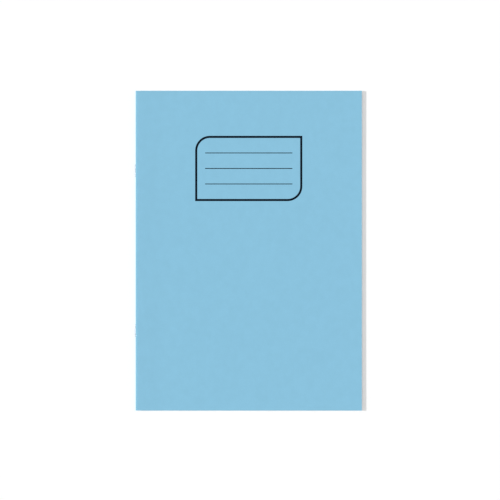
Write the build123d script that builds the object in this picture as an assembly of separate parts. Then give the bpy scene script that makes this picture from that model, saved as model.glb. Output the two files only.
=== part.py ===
from build123d import *
from math import sqrt
import os

# A stapled exercise book, closed and lying on its back cover. All sizes are in millimetres.
# X runs from the spine to the fore edge, Y from the tail to the head, and Z up from the table.

# Closed book
BOOK_WIDTH = 210.0       # outside of the spine to the fore edge
BOOK_HEIGHT = 297.0      # tail to head
SHEETS = 12              # folded sheets, each giving a front leaf and a rear leaf
PAPER = 0.10             # thickness of a leaf
CARD = 0.25              # thickness of the cover
AIR = 0.02               # between neighbouring layers

# Staples
WIRE = 0.50              # diameter of the wire
STAPLE_LENGTH = 12.0     # outside length of a staple along the spine
STAPLE_OFFSET = BOOK_HEIGHT / 4   # middle of a staple from the middle of the spine
CLINCH_GAP = 2.0         # between the two ends bent in over the middle fold
WIRE_BEND = 0.35         # radius of the wire's corners, on its centre line
CROWN_GAP = 0.05         # between the staple and the outside of the spine
HOLE_GAP = 0.03          # round a leg in its pierced hole
CORE_GAP = 0.05          # between the bent ends and the innermost fold

# Fold
SETTLE_RUN = 1.2         # from the fold line to where the front leaves have settled
SWING_GAP = 0.10         # between the folds and the ends of the turning leaves

# Printed label on the front cover
LABEL_WIDTH = 99.5
LABEL_HEIGHT = 60.6
LABEL_TOP = 41.9         # from the head of the cover
LABEL_CORNER = 13.7      # radius of the two rounded corners
LABEL_BORDER = 2.0       # width of the frame's line
LINE_LENGTH = 81.0
LINE_WIDTH = 0.75
LINE_PITCH = 14.4
LABEL_LINES = 3
INK = 0.03               # thickness of the ink film

# Sizes that follow
LEAF_PITCH = PAPER + AIR
CORE_RADIUS = WIRE / 2 + CORE_GAP
INNER_FOLD = CORE_RADIUS + PAPER / 2
OUTER_FOLD = INNER_FOLD + (SHEETS - 1) * LEAF_PITCH
COVER_FOLD = OUTER_FOLD + PAPER / 2 + AIR + CARD / 2
SPINE_RADIUS = COVER_FOLD + CARD / 2
CROWN_REACH = SPINE_RADIUS + CROWN_GAP + WIRE / 2
SWING_RADIUS = CROWN_REACH + WIRE / 2 + SWING_GAP
SETTLE = 2 * INNER_FOLD - LEAF_PITCH
STAPLE_LEG = (STAPLE_LENGTH - WIRE) / 2

# The fold line, about which every leaf turns, and the edges of the book
FORE_EDGE_X = (BOOK_WIDTH + CROWN_GAP + WIRE) / 2
SPINE_X = FORE_EDGE_X - BOOK_WIDTH
FOLD_X = SPINE_X + SPINE_RADIUS
FOLD_Z = SPINE_RADIUS
FOLD_PLANE = Plane((FOLD_X, 0, FOLD_Z), x_dir=(1, 0, 0), z_dir=(0, -1, 0))


def fold_radius(sheet):
    """Radius of a sheet's fold at the middle of its paper. Sheet 1 is the outermost."""
    return OUTER_FOLD - (sheet - 1) * LEAF_PITCH


def flat_layer(level, thickness, start):
    """A flat leaf or cover at a height above the fold line, from start to the fore edge."""
    length = FORE_EDGE_X - FOLD_X - start
    return Pos(FORE_EDGE_X - length / 2, 0, FOLD_Z + level) * Box(length, BOOK_HEIGHT, thickness)


def turning_layer(level, thickness):
    """A leaf or cover that turns about the fold line, clear of the folds and staples inside it."""
    nearest = max(abs(level) - thickness / 2, 0)
    return flat_layer(level, thickness, sqrt(SWING_RADIUS**2 - nearest**2))


def leg_end(level, thickness):
    """How far a fold's flat leg reaches, clear of the leaf that turns outside it."""
    furthest = abs(level) + thickness / 2
    return sqrt((SWING_RADIUS - SWING_GAP) ** 2 - furthest**2)


def staple_holes():
    """The holes that the staples' legs pierce through the spine."""
    depth = SPINE_RADIUS + WIRE
    drill = Rot(0, 90, 0) * Cylinder(WIRE / 2 + HOLE_GAP, depth)
    sides = [(staple, leg) for staple in (-1, 1) for leg in (-1, 1)]
    return [
        Pos(FOLD_X - depth / 2, staple * STAPLE_OFFSET + leg * STAPLE_LEG, FOLD_Z) * drill
        for staple, leg in sides
    ]


def pierced_fold(radius, thickness, rear_reach):
    """A half-round fold with a front leg that settles onto the leaves below and a flat rear leg."""
    outer = radius + thickness / 2
    inner = radius - thickness / 2
    front_end = leg_end(radius - SETTLE, thickness)
    front_leg = Polyline(
        (0, outer),
        (SETTLE_RUN, outer - SETTLE),
        (front_end, outer - SETTLE),
        (front_end, inner - SETTLE),
        (SETTLE_RUN, inner - SETTLE),
        (0, inner),
    )
    rear_corners = [(0, -inner), (rear_reach, -inner), (rear_reach, -outer), (0, -outer)]
    rear_leg = Polyline(*rear_corners) if rear_reach else Line(rear_corners[0], rear_corners[-1])
    bends = [CenterArc((0, 0), bend, 90, 180) for bend in (outer, inner)]
    section = make_face([*front_leg.edges(), *rear_leg.edges(), *bends])
    fold = extrude(FOLD_PLANE * section, BOOK_HEIGHT / 2, both=True)
    return fold - staple_holes()


def staple(middle_y):
    """A wire staple: its crown outside the spine, its ends bent in along the fold line."""
    tip = CLINCH_GAP / 2
    corners = [
        (0, tip),
        (0, STAPLE_LEG),
        (-CROWN_REACH, STAPLE_LEG),
        (-CROWN_REACH, -STAPLE_LEG),
        (0, -STAPLE_LEG),
        (0, -tip),
    ]
    path = Pos(FOLD_X, middle_y, FOLD_Z) * FilletPolyline(*corners, radius=WIRE_BEND)
    section = Plane(path @ 0, z_dir=path % 0) * Circle(WIRE / 2)
    return sweep(section, path=path)


def label_panel(inset):
    """The label's outline, rounded at its top left and bottom right corners."""
    panel = Rectangle(LABEL_WIDTH - 2 * inset, LABEL_HEIGHT - 2 * inset)
    rounded = [corner for corner in panel.vertices() if corner.X * corner.Y < 0]
    return fillet(rounded, LABEL_CORNER - inset)


def label_ink():
    """The printed frame and writing lines, as films of ink on the front cover."""
    middle_x = (SPINE_X + FORE_EDGE_X) / 2
    middle_y = BOOK_HEIGHT / 2 - LABEL_TOP - LABEL_HEIGHT / 2
    place = Pos(middle_x, middle_y, FOLD_Z + COVER_FOLD - SETTLE + CARD / 2)
    frame = place * extrude(label_panel(0) - label_panel(LABEL_BORDER), INK)
    lines = [
        place * Pos(0, (row - (LABEL_LINES - 1) / 2) * LINE_PITCH, INK / 2) * Box(LINE_LENGTH, LINE_WIDTH, INK)
        for row in range(LABEL_LINES)
    ]
    return {"label_frame": frame, "label_lines": Compound(children=lines)}


def cover():
    """The card cover: one piece of card, parted where it folds."""
    return {
        "front_cover": turning_layer(COVER_FOLD - SETTLE, CARD),
        "cover_spine": pierced_fold(COVER_FOLD, CARD, 0),
        "back_cover": flat_layer(-COVER_FOLD, CARD, 0),
    }


def sheet_pieces(sheet):
    """One folded sheet: its front leaf, its fold and its rear leaf."""
    radius = fold_radius(sheet)
    return {
        f"leaf_{sheet:02d}": turning_layer(radius - SETTLE, PAPER),
        f"sheet_{sheet:02d}_fold": pierced_fold(radius, PAPER, leg_end(radius, PAPER)),
        f"leaf_{2 * SHEETS + 1 - sheet:02d}": turning_layer(-radius, PAPER),
    }


def book():
    """Every piece of the book by name."""
    pieces = {**cover(), **label_ink()}
    for sheet in range(1, SHEETS + 1):
        pieces.update(sheet_pieces(sheet))
    pieces["upper_staple"] = staple(STAPLE_OFFSET)
    pieces["lower_staple"] = staple(-STAPLE_OFFSET)
    return pieces


os.makedirs("parts", exist_ok=True)
for name, piece in book().items():
    export_step(piece, f"parts/{name}.step")
print(f"fold line at x {FOLD_X:.3f}, z {FOLD_Z:.3f}; cover top at z {2 * SPINE_RADIUS - SETTLE:.3f}")
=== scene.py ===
from math import atan2, copysign, cos, degrees, pi, radians, sin

import bmesh
import bpy
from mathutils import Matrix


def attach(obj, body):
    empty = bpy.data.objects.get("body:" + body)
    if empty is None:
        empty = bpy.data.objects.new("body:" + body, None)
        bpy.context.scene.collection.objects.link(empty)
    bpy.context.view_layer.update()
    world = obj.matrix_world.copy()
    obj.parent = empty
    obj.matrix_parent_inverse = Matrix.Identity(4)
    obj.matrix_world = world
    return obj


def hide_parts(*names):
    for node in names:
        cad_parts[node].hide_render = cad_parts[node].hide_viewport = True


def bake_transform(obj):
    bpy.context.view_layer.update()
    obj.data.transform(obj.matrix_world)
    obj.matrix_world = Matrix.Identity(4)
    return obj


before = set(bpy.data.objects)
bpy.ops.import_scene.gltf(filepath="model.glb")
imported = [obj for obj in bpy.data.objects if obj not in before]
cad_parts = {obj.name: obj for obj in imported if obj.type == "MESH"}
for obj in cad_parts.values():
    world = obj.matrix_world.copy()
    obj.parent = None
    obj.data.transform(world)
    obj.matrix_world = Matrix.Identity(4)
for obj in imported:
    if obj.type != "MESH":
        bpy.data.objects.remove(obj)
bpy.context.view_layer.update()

# A stapled exercise book, closed and seen from straight above.
# Sizes are in millimetres, and distances in a section are measured from the fold line.
MM = 0.001

# Sizes shared with the solids
SHEETS = 12
LEAVES = 2 * SHEETS
BOOK_HEIGHT = 297.0
PAPER = 0.10
CARD = 0.25
FORE_EDGE_X = 105.275
SPINE_X = -104.725
FOLD_X = -102.735
FOLD_Z = 1.99
REACH = FORE_EDGE_X - FOLD_X
COVER_FOLD = 1.865       # radius of the card's fold
OUTER_FOLD = 1.67        # radius of the outermost sheet's fold
LEAF_PITCH = 0.12
INNER_FOLD = OUTER_FOLD - (SHEETS - 1) * LEAF_PITCH
SETTLE = 0.58            # drop of the front layers beside their folds
COVER_TOP = 3.40
HOLE = 0.28              # half the width of a hole for a staple's leg
STAPLE_OFFSET = 74.25    # middle of a staple from the middle of the spine
STAPLE_LEG = 5.75        # a leg from the middle of its staple
STAPLE_LEGS = [staple * STAPLE_OFFSET + leg * STAPLE_LEG for staple in (-1, 1) for leg in (-1, 1)]

# How a layer lies, is parted and bends at the fold
PRESSED = 1.3            # how much squarer the cover's fold is than a round one
SETTLE_RUN = 1.2         # over which the innermost front leaf settles
COVER_RUN = 24.0         # over which the front cover does, with the other leaves in between
PART_HEIGHT = 0.29       # above the fold line, where a front layer meets a rear one
PART_GAP = 0.011         # from there to either of them
PART_LIMIT = 0.95        # of a fold's radius, the most that it is parted at
END_INSET = 0.1          # of a front layer's fold at the head and tail, which hides it when it turns
INSET_REACH = 2.3        # how far from the fold line that goes

# The front cover stands off the leaves a little at the fore edge
LIFT = 0.42              # at the corners
LIFT_MIDDLE = 0.55       # share of it at the middle of the fore edge
LIFT_START = 158.0
LEAF_LIFT = 0.5          # share of it that the uppermost leaf follows

# Steps of the meshes, with a section's points closer together at the fore edge and at the fold
ROWS = 24
FRONT_STEPS = 16         # round a front layer's fold
REAR_STEPS = 12          # round a rear layer's fold as far as the staples' holes
HOLE_STEPS = 6           # and from there on
PLATE = [REACH, 203, 198, 193, 188, 182, 176, 170, 164, 158, 130, 100, 70, 40]
PLATE += [30, 24, 21, 18, 15, 12, 10, 8, 7, 6, 5, 4.2]
BEND = [step / 5 for step in range(18, -1, -1)]   # the points nearest to the fold, where a layer bends
HOLE_START = len(PLATE + BEND) + REAR_STEPS - 1   # last point of a rear layer below the holes
SHARP_ANGLE = 35         # degrees, from which an edge isn't smoothed

# What each layer keeps about the closed book for its material
CLOSED_PLACE = "closed_place"
CLOSED_SIDE = "closed_side"
FLAT_SIDE = 0.99         # side from which a point is on a face and not on a cut edge

# Ruling printed on the leaves
RULE_PITCH = 8.0
RULE_TOP = 25.0          # from the head to the first line
RULE_COUNT = 32
RULE_WIDTH = 0.22
RULE_STRENGTH = (0.75, 1.0)
MARGIN = 25.0            # from the left of each page
MARGIN_WIDTH = 0.30
MARGIN_STRENGTH = 0.85
LINE_EDGE = (0.35, 0.65)   # shares of a line's width between which it fades

# Colours, linear
CARD_BLUE = (0.258, 0.550, 0.738)
CARD_WORN = (0.52, 0.70, 0.80)
PAPER_WHITE = (0.86, 0.87, 0.86)
PAPER_EDGE = (0.85, 0.85, 0.83)
FEINT = (0.50, 0.63, 0.76)
MARGIN_RED = (0.78, 0.36, 0.38)
INK = (0.001, 0.005, 0.012)
STEEL = (0.50, 0.50, 0.51)

# Grain of the materials: sizes of their patches, the limits between which a noise takes effect,
# and the darkest and palest shade of each colour
NOISE_CORE = (0.3, 0.7)      # where most of a noise's values lie
NOISE_RANGE = (0.2, 0.8)     # where nearly all of them lie
CARD_CLOUD = 7.0
CARD_FIBRE = 0.45
CARD_GRAIN = 0.18
FIBRE_RUN = (1.0, 0.45, 1.0)   # the card's fibres are longer along the book
FIBRE_SHARE = 0.5            # of the fibres in the card's shade, the rest is clouds
GRAIN_HEIGHT = 0.5           # of the card's grain, where its fibres have 1
CARD_SHADES = (0.975, 1.022)
RUB_WIDTH = 0.5              # of the rubbed strip along the cut edges
RUB_PATCH = 2.5
RUB_LIMITS = (0.35, 0.75)
RUB_STRENGTH = 0.3
PAPER_FIBRE = 0.6
PAPER_CLOUD = 9.0
CLOUD_SHARE = 0.4            # of the clouds in the paper's shade, the rest is fibres
PAPER_SHADES = (0.975, 1.015)
EDGE_PATCH = 1.5
EDGE_SHADES = (0.93, 1.05)
INK_PATCH = 2.0
INK_LIMITS = (0.4, 0.7)
INK_FIBRES = (0.55, 0.8)     # the fibres that show through thin ink
INK_THINNEST = 0.03          # share of the card's colour there
WIRE_SCRATCH = 0.08
WIRE_RUN = (1.0, 0.06, 1.0)    # the scratches are longer along the wire
WIRE_LIMITS = (0.1, 0.4)
DULL_PATCH = 0.9
DULL_LIMITS = (0.25, 0.75)
STEEL_SHADES = (0.8, 1.1)

# Lowest and highest roughness, and the depth and strength of the relief
CARD_ROUGH = (0.68, 0.82)
PAPER_ROUGH = (0.78, 0.90)
INK_ROUGH = (0.50, 0.68)
WIRE_ROUGH = (0.28, 0.48)
CARD_RELIEF = (0.02, 0.35)
PAPER_RELIEF = (0.015, 0.30)
INK_RELIEF = (0.01, 0.25)
WIRE_RELIEF = (0.006, 0.40)

# View and light
FRAME_WIDTH = 464.2      # what the picture takes in at the front cover
LENS = 200.0
SENSOR = 36.0
CAMERA_X = 1.44
CAMERA_Y = 0.60
FLOOR_SIZE = 6000.0
FLOOR_DROP = 0.02
FLOOR_WHITE = 0.97
FLOOR_GLOW = 0.06
SKY_LEVEL = 0.50         # share of the light on a level surface, as for the two lamps
TOP_LEVEL = 0.14
KEY_LEVEL = 0.34


class Nodes:
    """The nodes of a material or world, with short calls that add to them and join them."""

    def __init__(self, owner):
        owner.use_nodes = True
        self.owner = owner
        self.tree = owner.node_tree
        self.tree.nodes.clear()

    def add(self, kind, inputs, **settings):
        """A node with its settings, and with a value or a link at each input."""
        node = self.tree.nodes.new(kind)
        for key, value in settings.items():
            setattr(node, key, value)
        for socket, value in inputs.items():
            if isinstance(value, bpy.types.NodeSocket):
                self.tree.links.new(value, node.inputs[socket])
            else:
                node.inputs[socket].default_value = value
        return node

    def math(self, operation, first, second=0.0):
        return self.add("ShaderNodeMath", {0: first, 1: second}, operation=operation).outputs[0]

    def weighted(self, first, second, share):
        """A sum of two values, with the share of the second."""
        return self.math("ADD", self.math("MULTIPLY", first, 1 - share), self.math("MULTIPLY", second, share))

    def ramp(self, value, low, high, to_low=0.0, to_high=1.0):
        """A value that runs smoothly from one level to another between two limits."""
        inputs = {"Value": value, "From Min": low, "From Max": high, "To Min": to_low, "To Max": to_high}
        return self.add("ShaderNodeMapRange", inputs, interpolation_type="SMOOTHSTEP").outputs["Result"]

    def noise(self, place, size, detail=3.0, stretch=(1, 1, 1)):
        """Noise whose patches are about size millimetres across."""
        place = self.add("ShaderNodeMapping", {"Vector": place, "Scale": stretch}).outputs["Vector"]
        inputs = {"Vector": place, "Scale": 1 / (size * MM), "Detail": detail}
        return self.add("ShaderNodeTexNoise", inputs).outputs["Fac"]

    def mix(self, share, first, second):
        """A colour between two others. The node's sockets share their names, so they go by number."""
        colours = [c if isinstance(c, bpy.types.NodeSocket) else (*c, 1) for c in (first, second)]
        inputs = {0: share, 6: colours[0], 7: colours[1]}
        return self.add("ShaderNodeMix", inputs, data_type="RGBA").outputs[2]

    def shades(self, share, colour, factors):
        """A colour that runs from its darkest to its palest shade."""
        dark, pale = [tuple(part * factor for part in colour) for factor in factors]
        return self.mix(share, dark, pale)

    def line(self, off, width):
        """1 in the middle of a printed line, fading to 0 at its edge."""
        return self.ramp(off, width * LINE_EDGE[0], width * LINE_EDGE[1], 1.0, 0.0)

    def place(self):
        """The place on a solid."""
        return self.add("ShaderNodeTexCoord", {}).outputs["Object"]

    def place_on_layer(self):
        """The place on a layer of the closed book, and its parts across and along the book."""
        point = self.add("ShaderNodeAttribute", {}, attribute_name=CLOSED_PLACE).outputs["Vector"]
        parts = self.add("ShaderNodeSeparateXYZ", {0: point})
        return point, parts.outputs["X"], parts.outputs["Y"]

    def side(self):
        """1 on a layer's upper face in the closed book, -1 on its lower one, between on its cut edges."""
        return self.add("ShaderNodeAttribute", {}, attribute_name=CLOSED_SIDE).outputs["Fac"]

    def seen_directly(self):
        """1 where the background is looked at or mirrored, and 0 where it only gives light."""
        path = self.add("ShaderNodeLightPath", {}).outputs
        seen = self.math("MAXIMUM", path["Is Camera Ray"], path["Is Glossy Ray"])
        return self.math("MAXIMUM", seen, path["Is Transmission Ray"])

    def bump(self, height, depth, strength):
        inputs = {"Height": height, "Distance": depth * MM, "Strength": strength}
        return self.add("ShaderNodeBump", inputs).outputs["Normal"]

    def surface(self, inputs):
        """Finishes a material with these inputs of its shader."""
        shader = self.add("ShaderNodeBsdfPrincipled", inputs)
        self.add("ShaderNodeOutputMaterial", {"Surface": shader.outputs[0]})
        return self.owner


def card_material():
    """Matt dyed card: cloudy, fibrous, and a little paler where its cut edges rub."""
    n = Nodes(bpy.data.materials.new("cover_card"))
    point, x, y = n.place_on_layer()
    fibre = n.noise(point, CARD_FIBRE, detail=4.0, stretch=FIBRE_RUN)
    shade = n.weighted(n.noise(point, CARD_CLOUD), fibre, FIBRE_SHARE)
    colour = n.shades(n.ramp(shade, *NOISE_CORE), CARD_BLUE, CARD_SHADES)

    from_fore_edge = n.math("SUBTRACT", FORE_EDGE_X * MM, x)
    from_end = n.math("SUBTRACT", BOOK_HEIGHT / 2 * MM, n.math("ABSOLUTE", y))
    from_edge = n.math("MINIMUM", from_fore_edge, from_end)
    rubbed = n.ramp(from_edge, 0.0, RUB_WIDTH * MM, 1.0, 0.0)
    rub = n.math("MULTIPLY", rubbed, n.ramp(n.noise(point, RUB_PATCH), *RUB_LIMITS))
    colour = n.mix(n.math("MULTIPLY", rub, RUB_STRENGTH), colour, CARD_WORN)

    grain = n.noise(point, CARD_GRAIN, detail=2.0)
    height = n.math("ADD", fibre, n.math("MULTIPLY", grain, GRAIN_HEIGHT))
    return n.surface(
        {
            "Base Color": colour,
            "Roughness": n.ramp(fibre, *NOISE_RANGE, *CARD_ROUGH),
            "Specular IOR Level": 0.12,
            "Normal": n.bump(height, *CARD_RELIEF),
        }
    )


def paper_material():
    """White writing paper with feint lines and a margin, and greyer cut edges."""
    n = Nodes(bpy.data.materials.new("paper"))
    point, x, y = n.place_on_layer()
    side = n.side()
    fibre = n.noise(point, PAPER_FIBRE, detail=4.0)
    shade = n.weighted(fibre, n.noise(point, PAPER_CLOUD), CLOUD_SHARE)
    face = n.shades(n.ramp(shade, *NOISE_CORE), PAPER_WHITE, PAPER_SHADES)
    edge = n.shades(n.noise(point, EDGE_PATCH), PAPER_EDGE, EDGE_SHADES)
    flat = n.math("GREATER_THAN", n.math("ABSOLUTE", side), FLAT_SIDE)
    colour = n.mix(flat, edge, face)

    from_first = n.math("SUBTRACT", (BOOK_HEIGHT / 2 - RULE_TOP) * MM, y)
    lines_down = n.math("DIVIDE", from_first, RULE_PITCH * MM)
    nearest = n.math("ROUND", lines_down)
    off_line = n.math("MULTIPLY", n.math("ABSOLUTE", n.math("SUBTRACT", lines_down, nearest)), RULE_PITCH)
    below_top = n.math("GREATER_THAN", nearest, -0.5)
    above_foot = n.math("LESS_THAN", nearest, RULE_COUNT + 0.5)
    line = n.math("MULTIPLY", n.line(off_line, RULE_WIDTH), n.math("MULTIPLY", below_top, above_foot))
    line = n.math("MULTIPLY", n.math("MULTIPLY", line, flat), n.ramp(fibre, *NOISE_RANGE, *RULE_STRENGTH))
    colour = n.mix(line, colour, FEINT)

    right_page = n.math("GREATER_THAN", side, 0.0)
    margin_x = n.ramp(right_page, 0.0, 1.0, (FORE_EDGE_X - MARGIN) * MM, (SPINE_X + MARGIN) * MM)
    off_margin = n.math("ABSOLUTE", n.math("SUBTRACT", x, margin_x))
    margin = n.math("MULTIPLY", n.line(off_margin, MARGIN_WIDTH * MM), flat)
    colour = n.mix(n.math("MULTIPLY", margin, MARGIN_STRENGTH), colour, MARGIN_RED)
    return n.surface(
        {
            "Base Color": colour,
            "Roughness": n.ramp(fibre, *NOISE_RANGE, *PAPER_ROUGH),
            "Specular IOR Level": 0.2,
            "Normal": n.bump(fibre, *PAPER_RELIEF),
        }
    )


def ink_material():
    """Ink that has soaked into the card, a little uneven where the fibres show through."""
    n = Nodes(bpy.data.materials.new("ink"))
    point = n.place()
    fibre = n.noise(point, CARD_FIBRE, detail=4.0, stretch=FIBRE_RUN)
    patch = n.ramp(n.noise(point, INK_PATCH), *INK_LIMITS)
    thin = n.math("MULTIPLY", n.ramp(fibre, *INK_FIBRES), patch)
    return n.surface(
        {
            "Base Color": n.mix(n.math("MULTIPLY", thin, INK_THINNEST), INK, CARD_BLUE),
            "Roughness": n.ramp(fibre, *NOISE_RANGE, *INK_ROUGH),
            "Specular IOR Level": 0.05,
            "Normal": n.bump(fibre, *INK_RELIEF),
        }
    )


def wire_material():
    """Drawn steel wire, with fine scratches along it."""
    n = Nodes(bpy.data.materials.new("staple_wire"))
    point = n.place()
    drawn = n.noise(point, WIRE_SCRATCH, stretch=WIRE_RUN)
    dull = n.noise(point, DULL_PATCH)
    worn = n.ramp(n.math("MULTIPLY", drawn, dull), *WIRE_LIMITS)
    return n.surface(
        {
            "Base Color": n.shades(worn, STEEL, STEEL_SHADES),
            "Metallic": 1.0,
            "Roughness": n.ramp(dull, *DULL_LIMITS, *WIRE_ROUGH),
            "Normal": n.bump(drawn, *WIRE_RELIEF),
        }
    )


def floor_material():
    """A plain white floor that keeps the book's shadow."""
    n = Nodes(bpy.data.materials.new("floor"))
    diffuse = n.add("ShaderNodeBsdfDiffuse", {"Color": (FLOOR_WHITE, FLOOR_WHITE, FLOOR_WHITE, 1)})
    glow = n.add("ShaderNodeEmission", {"Strength": n.math("MULTIPLY", n.seen_directly(), FLOOR_GLOW)})
    both = n.add("ShaderNodeAddShader", {0: diffuse.outputs[0], 1: glow.outputs[0]})
    n.add("ShaderNodeOutputMaterial", {"Surface": both.outputs[0]})
    return n.owner


def smooth(share):
    """A share from 0 to 1, eased at both ends."""
    share = min(max(share, 0.0), 1.0)
    return share * share * (3 - 2 * share)


def outwards(radius):
    """Where a fold lies between the innermost sheet, 0, and the cover, 1."""
    return (radius - INNER_FOLD) / (COVER_FOLD - INNER_FOLD)


def spaced(first, last, steps):
    """Even steps from one angle to another, without the first."""
    return [first + (last - first) * step / steps for step in range(1, steps + 1)]


def lift(distance, y):
    """How far the front cover stands up towards the fore edge, most of all at its corners."""
    run = max(0.0, (distance - LIFT_START) / (REACH - LIFT_START))
    to_corner = abs(2 * y / BOOK_HEIGHT) ** 3
    return LIFT * run**2 * (LIFT_MIDDLE + (1 - LIFT_MIDDLE) * to_corner)


def fold_power(radius):
    """The power of a pressed fold's curve: 2, which is round, for the innermost sheet, and more outwards."""
    return 2 + PRESSED * max(0.0, outwards(radius))


def on_fold(radius, turn):
    """A point on a pressed fold, turned by degrees about the fold line."""
    across = cos(radians(turn))
    along = sin(radians(turn))
    power = fold_power(radius)
    reach = radius / (abs(across) ** power + abs(along) ** power) ** (1 / power)
    return reach * across, reach * along


def turn_at(radius, height):
    """Where the upper half of a pressed fold has a height, in degrees about the fold line."""
    height = min(height, PART_LIMIT * radius)
    power = fold_power(radius)
    across = (radius**power - height**power) ** (1 / power)
    return 180 - degrees(atan2(height, across))


def front_fold(radius):
    """One face of a front layer's fold, from its top to where it meets the rear layer."""
    end = turn_at(radius, PART_HEIGHT + PART_GAP)
    return [on_fold(radius, turn) for turn in spaced(90, end, FRONT_STEPS)]


def rear_fold(radius):
    """One face of a rear layer's fold, from its foot past the staples' holes to the front layer."""
    hole = 360 - turn_at(radius, HOLE)
    end = turn_at(radius, PART_HEIGHT - PART_GAP)
    turns = spaced(270, hole, REAR_STEPS) + spaced(hole, end, HOLE_STEPS)
    return [on_fold(radius, turn) for turn in turns]


def front_section(radius, thickness, share, y):
    """Upper and lower points of a front layer, from the fore edge to the end of its fold."""
    upper = []
    lower = []
    run = SETTLE_RUN + (COVER_RUN - SETTLE_RUN) * outwards(radius)
    for distance in PLATE + BEND:
        level = radius - SETTLE * (1 - smooth(1 - distance / run)) + share * lift(distance, y)
        upper.append((distance, level + thickness / 2))
        lower.append((distance, level - thickness / 2))
    return upper + front_fold(radius + thickness / 2), lower + front_fold(radius - thickness / 2)


def rear_section(radius, thickness, share, y):
    """The same for a rear layer, which lies flat from its fold on."""
    upper = []
    lower = []
    for distance in PLATE + BEND:
        level = share * lift(distance, y) - radius
        upper.append((distance, level + thickness / 2))
        lower.append((distance, level - thickness / 2))
    return upper + rear_fold(radius - thickness / 2), lower + rear_fold(radius + thickness / 2)


def row_places():
    """Places along the spine where a section is drawn, among them both sides of each staple's hole."""
    places = [BOOK_HEIGHT * (row / ROWS - 0.5) for row in range(ROWS + 1)]
    for leg in STAPLE_LEGS:
        places += [leg - HOLE, leg + HOLE]
    return sorted(places)


def close_row(bm, ring, first):
    """Joins the two faces of a layer along one row, from a point of its section to the last."""
    last = len(ring) - 1
    for i in range(first, len(ring) // 2 - 1):
        bm.faces.new((ring[i], ring[i + 1], ring[last - 1 - i], ring[last - i]))


def join_rows(bm, near, far, pierced):
    """Joins two rows of a layer, which ends short at a staple's hole."""
    count = len(near)
    around = list(range(count))
    if pierced:
        around = around[:HOLE_START + 1] + around[count - 1 - HOLE_START:]
        close_row(bm, near, HOLE_START)
        close_row(bm, far, HOLE_START)
    for i, k in zip(around, around[1:] + around[:1]):
        bm.faces.new((near[i], near[k], far[k], far[i]))


def layer(name, section, radius, thickness, share, material):
    """A closed sheet of card or paper that follows a section along the spine."""
    bm = bmesh.new()
    rows = row_places()
    rings = []
    sides = []
    for y in rows:
        upper, lower = section(radius, thickness, share, y)
        inset = section is front_section and abs(y) > BOOK_HEIGHT / 2 - END_INSET
        fold_y = y - copysign(END_INSET, y) if inset else y
        places = [(FOLD_X + u, fold_y if u < INSET_REACH else y, FOLD_Z + w) for u, w in upper + lower[::-1]]
        rings.append([bm.verts.new([part * MM for part in place]) for place in places])
        sides += [1] * len(upper) + [-1] * len(lower)
    for row, (near, far) in enumerate(zip(rings, rings[1:])):
        leg_between = any(rows[row] < leg < rows[row + 1] for leg in STAPLE_LEGS)
        join_rows(bm, near, far, leg_between and section is rear_section)
    close_row(bm, rings[0], 0)
    close_row(bm, rings[-1], 0)
    bmesh.ops.recalc_face_normals(bm, faces=bm.faces)
    mesh = bpy.data.meshes.new(name)
    bm.to_mesh(mesh)
    bm.free()
    closed = [part for vertex in mesh.vertices for part in vertex.co]
    mesh.attributes.new(CLOSED_SIDE, "FLOAT", "POINT").data.foreach_set("value", sides)
    mesh.attributes.new(CLOSED_PLACE, "FLOAT_VECTOR", "POINT").data.foreach_set("vector", closed)
    mesh.shade_smooth()
    mesh.set_sharp_from_angle(angle=radians(SHARP_ANGLE))
    mesh.materials.append(material)
    piece = bpy.data.objects.new(name, mesh)
    bpy.context.scene.collection.objects.link(piece)
    return piece


def bend(piece):
    """Moves a piece's placing into its mesh, which then stands at the origin."""
    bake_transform(piece)


def make_cover(card):
    """The card cover, in two pieces that meet on the spine."""
    back = layer("back_card", rear_section, COVER_FOLD, CARD, 0.0, card)
    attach(back, "binding")
    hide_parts("back_cover", "cover_spine")
    front = layer("front_card", front_section, COVER_FOLD, CARD, 1.0, card)
    bend(front)
    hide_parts("front_cover")


def leaf_share(leaf):
    """The share of the front cover's lift that a leaf follows, less from leaf to leaf."""
    return LEAF_LIFT * ((LEAVES - leaf) / LEAVES) ** 2


def make_leaves(paper):
    """The leaves of each folded sheet, from the outermost sheet to the innermost."""
    for sheet in range(1, SHEETS + 1):
        radius = OUTER_FOLD - (sheet - 1) * LEAF_PITCH
        front = layer(f"page_{sheet:02d}", front_section, radius, PAPER, leaf_share(sheet), paper)
        bend(front)
        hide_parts(f"leaf_{sheet:02d}")

        last = LEAVES + 1 - sheet
        rear = layer(f"page_{last:02d}", rear_section, radius, PAPER, leaf_share(last), paper)
        bend(rear)
        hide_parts(f"leaf_{last:02d}", f"sheet_{sheet:02d}_fold")


def dress_nodes(names, material):
    """Gives solids that stay in view their material."""
    for name in names:
        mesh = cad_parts[name].data
        mesh.materials.clear()
        mesh.materials.append(material)


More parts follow.
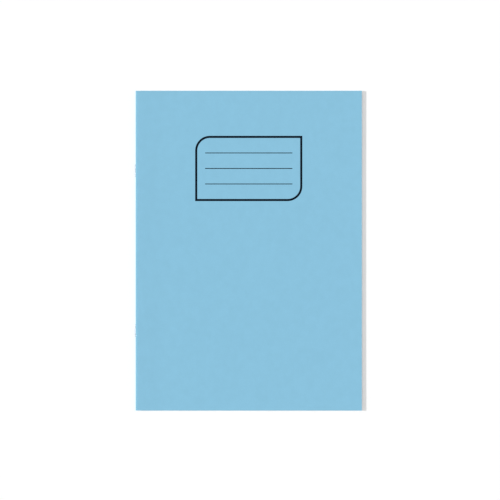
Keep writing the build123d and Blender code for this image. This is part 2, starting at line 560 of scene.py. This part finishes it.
def make_floor():
    """A floor that reaches far beyond the picture, just under the book."""
    half = FLOOR_SIZE / 2 * MM
    corners = [(-half, -half), (half, -half), (half, half), (-half, half)]
    mesh = bpy.data.meshes.new("floor")
    mesh.from_pydata([(x, y, -FLOOR_DROP * MM) for x, y in corners], [], [(0, 1, 2, 3)])
    mesh.materials.append(floor_material())
    floor = bpy.data.objects.new("floor", mesh)
    bpy.context.scene.collection.objects.link(floor)


def make_world():
    """A white surround that is seen at full strength and lights the book at a lower one."""
    world = bpy.data.worlds.new("surround")
    bpy.context.scene.world = world
    n = Nodes(world)
    strength = n.ramp(n.seen_directly(), 0.0, 1.0, SKY_LEVEL, 1.0)
    shader = n.add("ShaderNodeBackground", {"Color": (1, 1, 1, 1), "Strength": strength})
    n.add("ShaderNodeOutputWorld", {"Surface": shader.outputs[0]})


def make_lamp(name, level, tilt, turn, width):
    """A distant lamp that gives a share of the light on a level surface. Turn 0 comes from the fore edge."""
    lamp = bpy.data.lights.new(name, "SUN")
    lamp.energy = level * pi / cos(radians(tilt))
    lamp.angle = radians(width)
    light = bpy.data.objects.new(name, lamp)
    light.rotation_euler = (0, radians(tilt), radians(turn))
    bpy.context.scene.collection.objects.link(light)


def make_camera():
    """A long lens, looking straight down."""
    lens = bpy.data.cameras.new("camera")
    lens.lens = LENS
    lens.sensor_width = SENSOR
    camera = bpy.data.objects.new("camera", lens)
    distance = FRAME_WIDTH * LENS / SENSOR
    camera.location = (CAMERA_X * MM, CAMERA_Y * MM, (COVER_TOP + distance) * MM)
    bpy.context.scene.collection.objects.link(camera)
    bpy.context.scene.camera = camera


make_camera()
make_cover(card_material())
make_leaves(paper_material())
dress_nodes(["label_frame", "label_lines"], ink_material())
dress_nodes(["upper_staple", "lower_staple"], wire_material())
make_floor()
make_world()
make_lamp("top_light", TOP_LEVEL, tilt=12, turn=150, width=35)
make_lamp("key_light", KEY_LEVEL, tilt=49, turn=176, width=7)
bpy.context.scene.view_settings.view_transform = "Standard"
